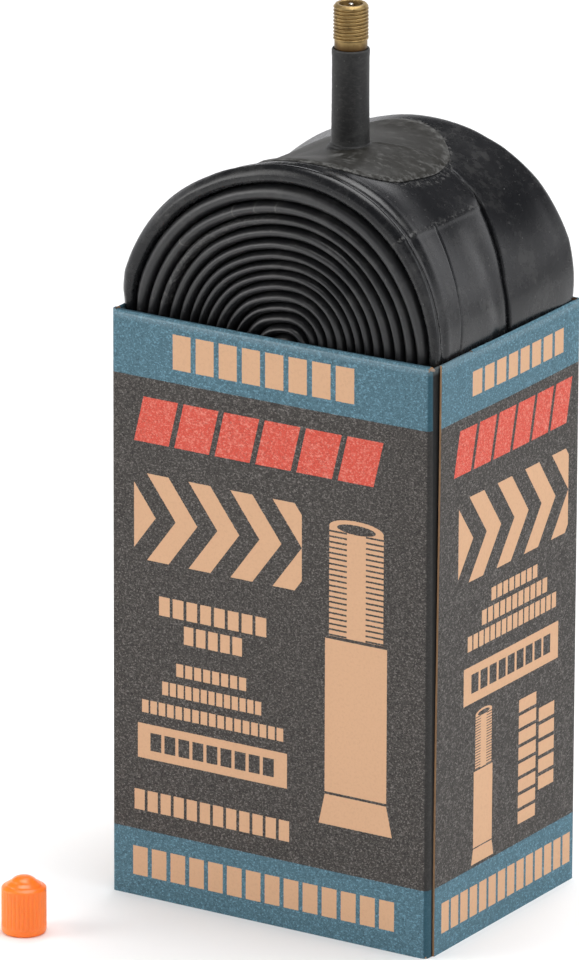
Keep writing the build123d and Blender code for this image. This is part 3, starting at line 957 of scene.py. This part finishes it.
def print_finish(name, colours, side=None):
    """Printed kraft board: blue bands at top and bottom, a dark middle, and
    each wall's own shapes left bare or printed red, with painted shade on
    the walls' top edge and a painted highlight over their top. On the front,
    a painted shaded strip down the seam's bend, a painted shadow in the gap
    behind it and a raw brown edge at the top of the bend. With no side, the
    blue of a folded flap, with painted shade inside the carton and a painted
    highlight along the fold's crest."""
    f = Finish(name)
    x, y, z = f.axes()
    blue, dark, bare, red = colours
    blue_ink = board_colour(f, blue, tint(blue, 2.3, 0.03), tint(blue, 0.45),
                            0.85)
    if side:
        dark_ink = board_colour(f, dark, tint(dark, 3.2, 0.05),
                                tint(dark, 0.12))
        ragged = (f.noise(0.35, 2, 0.6) - 0.5) * 0.22
        u = {"front": x, "back": x * -1, "right": y, "left": y * -1}[side]
        u, v = u + ragged, z + ragged
        band = ((v > BAND_HIGH) + (v < BAND_LOW)).held()
        base = f.mix(band, dark_ink, blue_ink)
        marks = front_marks if side in ("front", "back") else side_marks
        kraft, stamp = marks(u, v)
        paper = f.mix(f.band(f.noise(0.6, 3, 0.7), 0.45, 0.7) * 0.35, bare,
                      tint(bare, 0.8))
        base = f.mix(kraft, base, paper)
        red_ink = board_colour(f, red, (0.80, 0.36, 0.28, 1),
                               (0.25, 0.04, 0.03, 1), 0.6)
        base = f.mix(stamp, base, red_ink)
        if side == "front":
            # painted shade: a dark strip down the seam's bend, dark teal in
            # the bands and near black between them
            shaded_strip = f.mix(band, (0.014, 0.013, 0.012, 1),
                          (0.006, 0.050, 0.075, 1))
            base = f.mix(f.band(x, SEAM_X + 0.4, SEAM_X + 0.8) * 0.85, base,
                         shaded_strip)
            # painted shadow: the glue flap behind the bend painted black, in
            # the gap by the right wall's sprung edge, widest at the top
            gap_shadow_start = 1.9 - z / CARTON_TOP * 1.1 - HALF_DEPTH * PLAN_SCALE
            base = f.mix(((y - gap_shadow_start) / 0.3).held() * (x > SEAM_X), base,
                         (0, 0, 0, 1))
            top = CARTON_TOP - 0.3 - 0.7 * ((x - SEAM_X - 0.3) / 1.2).held()
            base = f.mix((z > top) * (x > SEAM_X + 0.45)
                         * (y < 1.7 - HALF_DEPTH * PLAN_SCALE), base,
                         tint(bare, 0.35))
        # painted shade: the walls' top edge, where no flap covers it, darkened
        # towards the shade blue
        base = f.mix((z > CARTON_TOP - 0.08) * 0.7, base, SHADE_BLUE)
        # painted highlight: a pale band over the top two millimetres of each
        # wall
        painted_highlight = f.band(z, CARTON_TOP - 2.2, CARTON_TOP - 1.2) * 0.5
    else:
        base = blue_ink
        # painted shade: the flap darkens towards the shade blue away from the
        # walls, inside the carton
        reach = f.band(HALF_DEPTH * PLAN_SCALE + y, 0.25, 0.7)
        reach = reach * f.band(HALF_WIDTH * PLAN_SCALE - abs(x), 0.2, 0.5)
        base = f.mix(reach * 0.7, base, SHADE_BLUE)
        # painted highlight: a pale band along the crest of the fold
        painted_highlight = f.band(abs(z - CARTON_TOP + 0.75), 0.35, 0.1)
    # mix the painted highlight in as a pale blue, broken by noise
    base = f.mix(painted_highlight * f.noise(0.6, 2, 0.6) * 0.45, base,
                 (0.42, 0.52, 0.56, 1))
    fibre = f.noise(0.5, 3, 0.65) + f.noise(3.5, 2, 0.5) * 0.8
    return f.surface(Base_Color=base,
                     Roughness=0.62 + 0.2 * f.noise(0.8, 2, 0.5),
                     Specular_IOR_Level=0.35,
                     Normal=f.bump(fibre, 0.05, 0.5))


def raw_board_finish(name, colour):
    """Unprinted kraft board: brown pulp with long pale and dark fibres."""
    f = Finish(name)
    fibre = f.noise(1.3, 4, 0.7, stretch=(1, 1, 0.35))
    fleck = f.noise(0.4, 2, 0.6)
    base = f.mix(f.band(fibre, 0.45, 0.7) * 0.5, colour, tint(colour, 1.5))
    base = f.mix(f.band(fleck, 0.6, 0.75) * 0.5, base, tint(colour, 0.5))
    return f.surface(Base_Color=base, Roughness=0.72 + 0.15 * fleck,
                     Specular_IOR_Level=0.3,
                     Normal=f.bump(fibre + fleck, 0.04, 0.5))


def brass_finish(name, colour, rough=0.36, foot=0.0):
    """Machined brass: turned streaks, tarnish in the hollows, and a brown
    neck that fades out a little above the height of its foot."""
    f = Finish(name)
    streak = f.noise(0.5, 3, 0.6, stretch=(0.15, 0.15, 3.0))
    tarnish = f.noise(1.6, 4, 0.65)
    base = f.mix(f.band(tarnish, 0.42, 0.72) * 0.7, colour,
                 tint(colour, (0.42, 0.36, 0.28)))
    base = f.mix(f.band(f.axes("Z")[0], foot + 2.8, foot), base,
                 tint(colour, (0.16, 0.11, 0.06)))
    return f.surface(Base_Color=base, Metallic=0.85,
                     Roughness=rough + 0.18 * tarnish,
                     Normal=f.bump(streak + tarnish * 0.5, 0.02, 0.5))


def steel_finish(name, colour):
    """Drawn steel: fine streaks."""
    f = Finish(name)
    streak = f.noise(0.3, 3, 0.6, stretch=(1, 1, 0.1))
    return f.surface(Base_Color=f.mix(streak * 0.5, colour, tint(colour, 0.6)),
                     Metallic=1.0, Roughness=0.22 + 0.12 * streak,
                     Normal=f.bump(streak, 0.01, 0.4))


def plastic_finish(name, colour, light, deep):
    """Moulded plastic that lets a little light in: cloudy, with painted light
    that makes it lighter towards the left, and a fine darker grain."""
    f = Finish(name)
    cloud = f.noise(2.8, 3, 0.6)
    grain = f.noise(0.25, 2, 0.5)
    # painted light: lighter over the left side, towards the left lamp
    left = f.band(f.axes("X")[0], -39.5, -47.5)
    base = f.mix((left * 0.4 + cloud * 0.15).held(), colour, light)
    base = f.mix(f.band(grain, 0.6, 0.8) * 0.25, base, deep)
    return f.surface(Base_Color=base, Roughness=0.24 + 0.16 * cloud,
                     Subsurface_Weight=0.25,
                     Subsurface_Radius=(0.004, 0.0012, 0.0004),
                     Subsurface_Scale=1.0,
                     Normal=f.bump(grain + cloud, 0.015, 0.5))


# --- settings -----------------------------------------------------------
def colour_setting(name, description, default):
    """Colour that the sidebar shows."""
    return FloatVectorProperty(name=name, description=description, size=4,
                               min=0.0, max=1.0, subtype="COLOR",
                               default=default)


class TubeSettings(bpy.types.PropertyGroup):
    """Finish of the rolled tube."""

    rubber: colour_setting("Rubber", "Colour of the tube's rubber",
                           (0.0075, 0.0078, 0.0088, 1))
    patch: colour_setting("Patch", "Colour of the patch under the valve",
                          (0.012, 0.011, 0.0085, 1))
    dust: FloatProperty(name="Dust", description="How much talc dust shows",
                        default=0.22, min=0.0, max=1.0, subtype="FACTOR")


class ValveSettings(bpy.types.PropertyGroup):
    """Finish of the valve."""

    sleeve: colour_setting("Sleeve", "Colour of the stem's rubber",
                           (0.0080, 0.0080, 0.0080, 1))
    brass: colour_setting("Brass", "Colour of the threaded stem",
                          (0.36, 0.25, 0.105, 1))


class CartonSettings(bpy.types.PropertyGroup):
    """Print and shape of the carton."""

    band: colour_setting("Band", "Colour of the two printed bands",
                         (0.061, 0.136, 0.176, 1))
    field: colour_setting("Field", "Colour printed between the bands",
                          (0.043, 0.038, 0.034, 1))
    bare: colour_setting("Bare print", "Colour of the shapes left unprinted",
                         (0.61, 0.365, 0.215, 1))
    stamp: colour_setting("Stamp", "Colour of the slanted row of blocks",
                          (0.60, 0.072, 0.044, 1))
    raw: colour_setting("Raw board", "Colour of the unprinted inside",
                        (0.33, 0.19, 0.10, 1))
    bow: FloatProperty(name="Bow", description="How far the walls bulge at "
                       "the top", default=0.5, min=0.0, max=1.5)


class CapSettings(bpy.types.PropertyGroup):
    """Shape and finish of the dust cap."""

    colour: colour_setting("Plastic", "Colour of the cap",
                           (1.0, 0.185, 0.014, 1))
    rib_depth: FloatProperty(name="Rib depth", description="Depth of the "
                             "grooves between ribs, in millimetres",
                             default=0.17, min=0.0, max=0.6)


class StageSettings(bpy.types.PropertyGroup):
    """Floor, light and camera."""

    floor: colour_setting("Floor", "Colour of the floor",
                          (0.94, 0.94, 0.94, 1))
    azimuth: FloatProperty(name="Azimuth", description="Camera's turn from "
                           "straight in front", subtype="ANGLE",
                           default=radians(32.1577))
    elevation: FloatProperty(name="Elevation", description="Camera's height "
                             "angle", subtype="ANGLE",
                             default=radians(17.9966))
    tilt: FloatProperty(name="Tilt", description="Camera's roll",
                        subtype="ANGLE", default=radians(0.212))
    lens: FloatProperty(name="Lens", description="Focal length",
                        subtype="DISTANCE_CAMERA", default=380.98)


# --- pieces -------------------------------------------------------------
def squeezed(made):
    """Give the piece its own copy of its mesh."""
    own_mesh(made)


def layer_marks(f):
    """Dusty scuffs on an outer layer, left of the middle, and four short
    cracks across the next one."""
    x, y, z = f.axes()
    layer = f.node("ShaderNodeAttribute", {"attribute_name": "layer"},
                   output="Fac")
    rising = (z > ROLL_Z + 6) * (y < -22)
    scuffed = (abs(layer - 11) < 0.6) * f.band(x, 1.0, -9.0) * rising
    crumbs = f.band(f.noise(0.8, 3, 0.75), 0.50, 0.64)
    cracks = [f.band(abs((x - ROLL_X) * cos(radians(turn))
                         - (z - ROLL_Z) * sin(radians(turn))
                         + f.noise(1.5, 2, 0.5) - 0.5), 0.22, 0.05)
              for turn in (-24.0, -13.5, -4.0, -52.0)]
    cracked = (abs(layer - 12) < 0.6) * rising
    return scuffed * crumbs * 0.8 + sum(cracks[1:], cracks[0]) * cracked * 0.9


def from_valve(x, y):
    """Distance from the valve, seen from above."""
    return (x * x + (y - VALVE_Y) * (y - VALVE_Y)) ** 0.5


def stain_marks(f):
    """Pale talc crumbs along the splice and round the patch."""
    x, y, z = f.axes()
    splice = f.band(abs(z - x - 131.0), 1.2, 0.2) * (x > 20.0) * (y < 8.0)
    reach = from_valve(x, y)
    edge = f.band(abs(reach - 22.2), 1.2, 0.2) * (z > 150.0)
    crumbs = f.band(f.noise(0.9, 3, 0.75), 0.50, 0.66)
    return (splice * 0.7 + edge * 0.8) * crumbs


def sleeve_marks(f):
    """Soft scuffs that run round the sleeve, and a worn brown lip."""
    scuff = f.band(f.noise(1.1, 4, 0.7, stretch=(1, 1, 2.2)), 0.47, 0.68)
    lip = f.band(abs(f.axes("Z")[0] - SLEEVE_TOP + 0.15), 0.3, 0.05)
    return scuff * 0.16 + lip * 0.3


def patch_marks(f):
    """Pale broken rim, scuffs and a smear in front of the stem."""
    x, y = f.axes("XY")
    reach = from_valve(x, y)
    rim = f.band(reach, 19.8, 21.2) * f.band(f.noise(1.2, 3, 0.7), 0.45, 0.6)
    smear = f.band(abs(y + 8.0), 5.0, 0.5) * f.band(abs(x - 4.0), 7.0, 1.0) \
        * f.band(f.noise(2.2, 4, 0.7, stretch=(1, 0.35, 1)), 0.48, 0.62)
    scuff = f.band(f.noise(1.5, 4, 0.7, stretch=(0.35, 1, 1)), 0.52, 0.68)
    return rim * 0.9 + smear + scuff * 0.6


class OBJECT_OT_rolled_tube(bpy.types.Operator):
    """Make the rolled tube: its inner layers and its outermost layer"""

    bl_idname = "inner_tube.rolled_tube"
    bl_label = "Rolled tube"

    def execute(self, context):
        look = context.scene.inner_tube_roll
        inner = rubber_finish("rubber_layers", tuple(look.rubber),
                              look.dust * 1.1, 0.8, 0.34, layer_marks, 0.60)
        outer = rubber_finish("rubber_outside", tuple(look.rubber), look.dust,
                              1.2, 0.20, stain_marks, 0.34)
        shell, layer = coil_shell()
        squeezed(piece("tube_layers", [shell], [inner], "tube",
                       ["tube_coil"], 60, {"layer": layer}))
        squeezed(piece("tube_outer_layer", [outer_shell()], [outer],
                       "tube", ["tube_coil"], 60))
        return {"FINISHED"}


class OBJECT_OT_valve_patch(bpy.types.Operator):
    """Make the reinforcing patch under the valve"""

    bl_idname = "inner_tube.valve_patch"
    bl_label = "Valve patch"

    def execute(self, context):
        look = context.scene.inner_tube_roll
        finish = rubber_finish("rubber_patch", tuple(look.patch), 0.38, 0.7,
                               0.46, patch_marks, 0.24)
        squeezed(piece("valve_patch_sheet", [patch_shell()], [finish],
                       "tube", ["valve_patch"], 60))
        return {"FINISHED"}


class OBJECT_OT_valve_stem(bpy.types.Operator):
    """Make the stem's rubber sleeve and its threaded brass"""

    bl_idname = "inner_tube.valve_stem"
    bl_label = "Valve stem"

    def execute(self, context):
        look = context.scene.inner_tube_valve
        rubber = rubber_finish("rubber_sleeve", tuple(look.sleeve), 0.20, 0.6,
                               0.42, sleeve_marks, 0.30)
        brass = brass_finish("brass_stem", tuple(look.brass),
                             foot=SLEEVE_TOP - 0.1)
        piece("valve_sleeve", [turned_shell(sleeve_profile(), VALVE_X,
                                            VALVE_Y)],
              [rubber], "tube", ["stem_rubber"], 50)
        piece("valve_thread", [turned_shell(brass_profile(), VALVE_X, VALVE_Y,
                                            112, thread_shape)],
              [brass], "tube", ["stem_brass"], 40)
        return {"FINISHED"}


class OBJECT_OT_valve_core(bpy.types.Operator):
    """Finish the valve core's small parts"""

    bl_idname = "inner_tube.valve_core"
    bl_label = "Valve core"

    def execute(self, context):
        look = context.scene.inner_tube_valve
        brass = brass_finish("brass_core", tuple(look.brass), 0.3)
        steel = steel_finish("steel_pin", (0.72, 0.70, 0.66, 1))
        gasket = plastic_finish("plastic_gasket", (0.55, 0.06, 0.04, 1),
                                (0.7, 0.12, 0.08, 1), (0.3, 0.03, 0.02, 1))
        seat = rubber_finish("rubber_seat", (0.03, 0.03, 0.03, 1), 0.1)
        for node in ("core_plug", "core_barrel"):
            paint(node, brass)
        for node in ("core_pin", "core_pin_cup"):
            paint(node, steel)
        low, high = node_box("core_spring")
        spring = piece("core_coil_spring", [spring_shell(low, high)], [steel],
                       "core", ["core_spring"], 60)
        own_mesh(spring)
        paint("core_gasket", gasket)
        paint("core_seat_washer", seat)
        return {"FINISHED"}


class OBJECT_OT_dust_cap(bpy.types.Operator):
    """Make the ribbed dust cap"""

    bl_idname = "inner_tube.dust_cap"
    bl_label = "Dust cap"

    def execute(self, context):
        look = context.scene.inner_tube_cap
        r, g, b, _ = look.colour
        # the lighter colour serves both the cap's painted light and its
        # lighter clouds
        finish = plastic_finish("plastic_cap", (r, g, b, 1),
                                (1.0, min(1, g * 1.5), b * 1.8, 1),
                                (r * 0.8, g * 0.6, b * 0.5, 1))
        x = (CAP_LOW[0] + CAP_HIGH[0]) / 2
        y = (CAP_LOW[1] + CAP_HIGH[1]) / 2
        piece("cap_moulding", [turned_shell(cap_profile(), x, y, 256,
                                            cap_shape(look.rib_depth))],
              [finish], "cap", ["dust_cap"], 40)
        return {"FINISHED"}


class OBJECT_OT_carton(bpy.types.Operator):
    """Make the carton's four printed walls and its folded flaps"""

    bl_idname = "inner_tube.carton"
    bl_label = "Carton"

    def execute(self, context):
        look = context.scene.inner_tube_carton
        colours = [tuple(look.band), tuple(look.field), tuple(look.bare),
                   tuple(look.stamp)]
        raw = raw_board_finish("board_raw", tuple(look.raw))
        plain = print_finish("board_band", colours)
        spans, folds = {}, []
        for side, name, node, depth in (
                ("front", "tuck_fold", "top_tuck_flap", 2.0),
                ("right", "right_fold", "top_dust_flap_right", 0.95),
                ("left", "left_fold", "top_dust_flap_left", 0.95)):
            low, high = node_box(node)
            ends = sorted(corner[:2] @ np.array(SIDES[side][0], float)
                          for corner in (low, high))
            shell, spans[side] = flap_shell(side, *ends, depth, low[2],
                                            look.bow)
            folds.append((name, shell, node))
        for side in SIDES:
            finish = print_finish("board_print_" + side, colours, side)
            piece("carton_" + side,
                  [wall_shell(side, spans.get(side), look.bow)],
                  [finish, raw], "carton", ["carton_sleeve"],
                  35, second=RAW_FACES)
        for name, shell, node in folds:
            piece(name, [shell], [plain, raw], "carton",
                  [node], 35, second=RAW_FACES)
        for node in ("bottom_dust_flap_left", "bottom_dust_flap_right",
                     "bottom_tuck_flap"):
            paint(node, raw)
        return {"FINISHED"}


def area_light(name, place, size, power, colour):
    """Soft rectangular light aimed at the carton."""
    light = bpy.data.lights.new(name, "AREA")
    light.shape = "RECTANGLE"
    light.size, light.size_y = size
    light.energy = power
    light.color = colour
    made = bpy.data.objects.new(name, light)
    made.location = place
    aim = Vector(LIGHT_AIM) - Vector(place)
    made.rotation_euler = aim.to_track_quat("-Z", "Y").to_euler()
    bpy.context.scene.collection.objects.link(made)


def camera_matrix(azimuth, elevation, tilt, place):
    """Camera placed at a point, looking along its azimuth and elevation."""
    back = Vector((sin(azimuth) * cos(elevation),
                   -cos(azimuth) * cos(elevation), sin(elevation)))
    right = Vector((cos(azimuth), sin(azimuth), 0))
    up = back.cross(right)
    tilted = right * cos(tilt) + up * sin(tilt)
    upper = back.cross(tilted)
    turn = Matrix((tilted, upper, back)).transposed().to_4x4()
    return Matrix.Translation(place) @ turn


class OBJECT_OT_stage(bpy.types.Operator):
    """Set up the floor, the soft lights and the camera"""

    bl_idname = "inner_tube.stage"
    bl_label = "Stage"

    def execute(self, context):
        look = context.scene.inner_tube_stage
        material = Finish("stage_floor").surface(
            Base_Color=tuple(look.floor), Roughness=0.9,
            Specular_IOR_Level=0.1)
        mesh = bpy.data.meshes.new("floor")
        reach = 6.0
        mesh.from_pydata([(-reach, -reach, 0), (reach, -reach, 0),
                          (reach, reach, 0), (-reach, reach, 0)], [],
                         [(0, 1, 2, 3)])
        mesh.materials.append(material)
        floor = bpy.data.objects.new("floor", mesh)
        context.scene.collection.objects.link(floor)

        sky = Finish("studio", "worlds")
        look_at = sky.node("ShaderNodeTexCoord", output="Generated")
        height = sky.node("ShaderNodeSeparateXYZ", {}, {0: look_at}, "Z")
        fade = sky.node("ShaderNodeValToRGB",
                        {"stops": [(0.34, (1.25, 1.25, 1.28, 1)),
                                   (0.41, (0.03, 0.03, 0.035, 1))]},
                        {"Fac": height})
        glow = sky.node("ShaderNodeBackground", {},
                        {"Color": fade, "Strength": 1.0})
        sky.node("ShaderNodeOutputWorld", {}, {"Surface": glow})
        context.scene.world = sky.owner
        area_light("light_left", LEFT_LIGHT, (0.5, 0.9), 6,
                   (1.0, 0.985, 0.965))
        area_light("light_right", RIGHT_LIGHT, (0.6, 1.4), 7,
                   (0.95, 0.98, 1.0))
        area_light("light_top", TOP_LIGHT, (1.5, 1.5), 44, (1.0, 1.0, 1.0))

        camera = bpy.data.cameras.new("camera")
        camera.lens = look.lens
        camera.sensor_width = 36.0
        camera.clip_end = 20.0
        made = bpy.data.objects.new("camera", camera)
        made.matrix_world = camera_matrix(look.azimuth, look.elevation,
                                          look.tilt, CAMERA_PLACE)
        context.scene.collection.objects.link(made)
        context.scene.camera = made
        context.scene.view_settings.view_transform = "Standard"
        return {"FINISHED"}


class VIEW3D_PT_inner_tube(bpy.types.Panel):
    """Lists the operators and their settings."""

    bl_idname = "VIEW3D_PT_inner_tube"
    bl_label = "Inner Tube"
    bl_space_type = "VIEW_3D"
    bl_region_type = "UI"
    bl_category = "Inner Tube"

    def draw(self, context):
        for operator, settings in STEPS:
            box = self.layout.box()
            box.operator(operator.bl_idname)
            group = getattr(context.scene, settings)
            for key in group.__annotations__:
                box.prop(group, key)


STEPS = (
    (OBJECT_OT_stage, "inner_tube_stage"),
    (OBJECT_OT_rolled_tube, "inner_tube_roll"),
    (OBJECT_OT_valve_patch, "inner_tube_roll"),
    (OBJECT_OT_valve_stem, "inner_tube_valve"),
    (OBJECT_OT_valve_core, "inner_tube_valve"),
    (OBJECT_OT_carton, "inner_tube_carton"),
    (OBJECT_OT_dust_cap, "inner_tube_cap"),
)
GROUPS = {
    "inner_tube_stage": StageSettings,
    "inner_tube_roll": TubeSettings,
    "inner_tube_valve": ValveSettings,
    "inner_tube_carton": CartonSettings,
    "inner_tube_cap": CapSettings,
}
CLASSES = (*GROUPS.values(), *(step[0] for step in STEPS),
           VIEW3D_PT_inner_tube)


def register():
    """Add the classes and the scene's settings."""
    for item in CLASSES:
        bpy.utils.register_class(item)
    for key, group in GROUPS.items():
        setattr(bpy.types.Scene, key, PointerProperty(type=group))


def unregister():
    """Take them away again."""
    for key in GROUPS:
        delattr(bpy.types.Scene, key)
    for item in reversed(CLASSES):
        bpy.utils.unregister_class(item)


def main():
    """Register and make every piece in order."""
    register()
    for operator, _ in STEPS:
        getattr(bpy.ops.inner_tube, operator.bl_idname.split(".")[1])()


if __name__ == "__main__":
    main()
